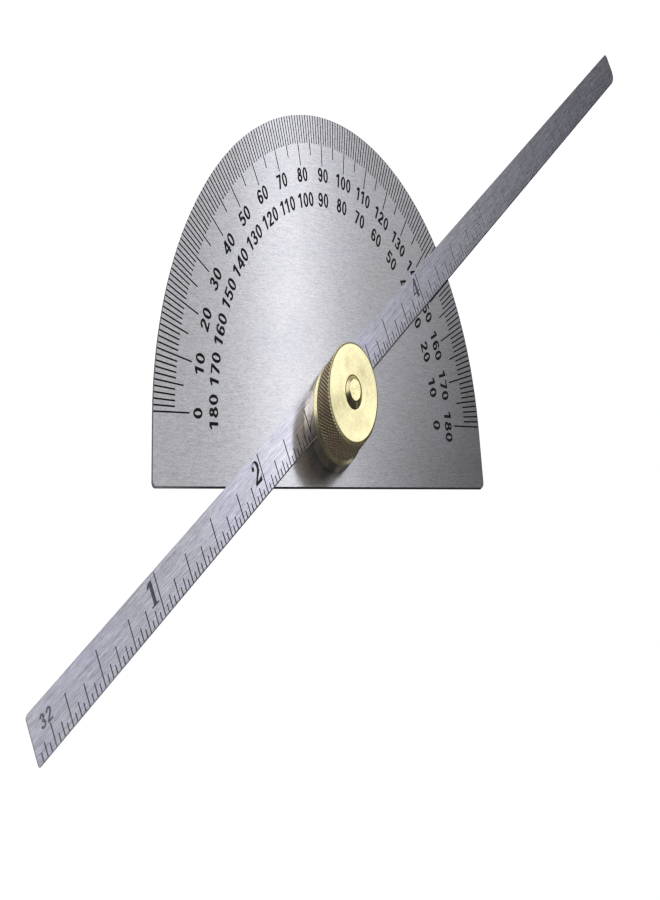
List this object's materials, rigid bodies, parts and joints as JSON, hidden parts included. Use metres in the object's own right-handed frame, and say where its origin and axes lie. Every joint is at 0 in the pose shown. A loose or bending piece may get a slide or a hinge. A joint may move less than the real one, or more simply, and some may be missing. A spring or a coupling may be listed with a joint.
{
  "type": "protractor",
  "caption": "Half-round steel protractor head with opposed degree scales and a narrow graduated rule that swings and slides through a clamped swivel collar.",
  "frame": {"origin": "on the pivot axis, which is the centre of the degree scale, in the plane of the flat back", "axes": "+X along the 0 to 180 line, +Y towards 90 on the scale, +Z out of the graduated face along the pivot axis"},
  "size_m": [0.1722, 0.1009, 0.0113],
  "materials": {
    "head_steel": "fine brushed stainless steel with black-filled graduations",
    "rule_steel": "satin stainless steel brushed along its length, black-filled graduations",
    "stud_brass": "turned",
    "collar_brass": "smooth turned",
    "nut_brass": "turned face, diamond-knurled edge"
  },
  "bodies": {
    "head": {"protractor_plate": "head_steel"},
    "swivel": {"clamp_stud": "stud_brass"},
    "rule": {"rule": "rule_steel"},
    "collar": {"swivel_collar": "collar_brass"},
    "nut": {"knurled_nut": "nut_brass"}
  },
  "joints": [
    {"name": "rule_swing", "type": "hinge", "parent": "head", "child": "swivel", "pos_m": [0, 0, 0.0008], "axis": [0, 0, 1], "continuous": true},
    {"name": "rule_slide", "type": "slide", "parent": "swivel", "child": "rule", "axis": [0.8695, 0.4939, 0], "range_m": [-0.116, 0.063]},
    {"name": "collar_lift", "type": "slide", "parent": "swivel", "child": "collar", "axis": [0, 0, 1], "range_m": [0, 0.0007]},
    {"name": "nut_turn", "type": "hinge", "parent": "collar", "child": "nut", "pos_m": [0, 0, 0.0075], "axis": [0, 0, 1], "range_deg": [0, 360]}
  ],
  "couplings": [
    {"joint": "collar_lift", "follows": "nut_turn", "m_per_rad": 0.00011141}
  ]
}
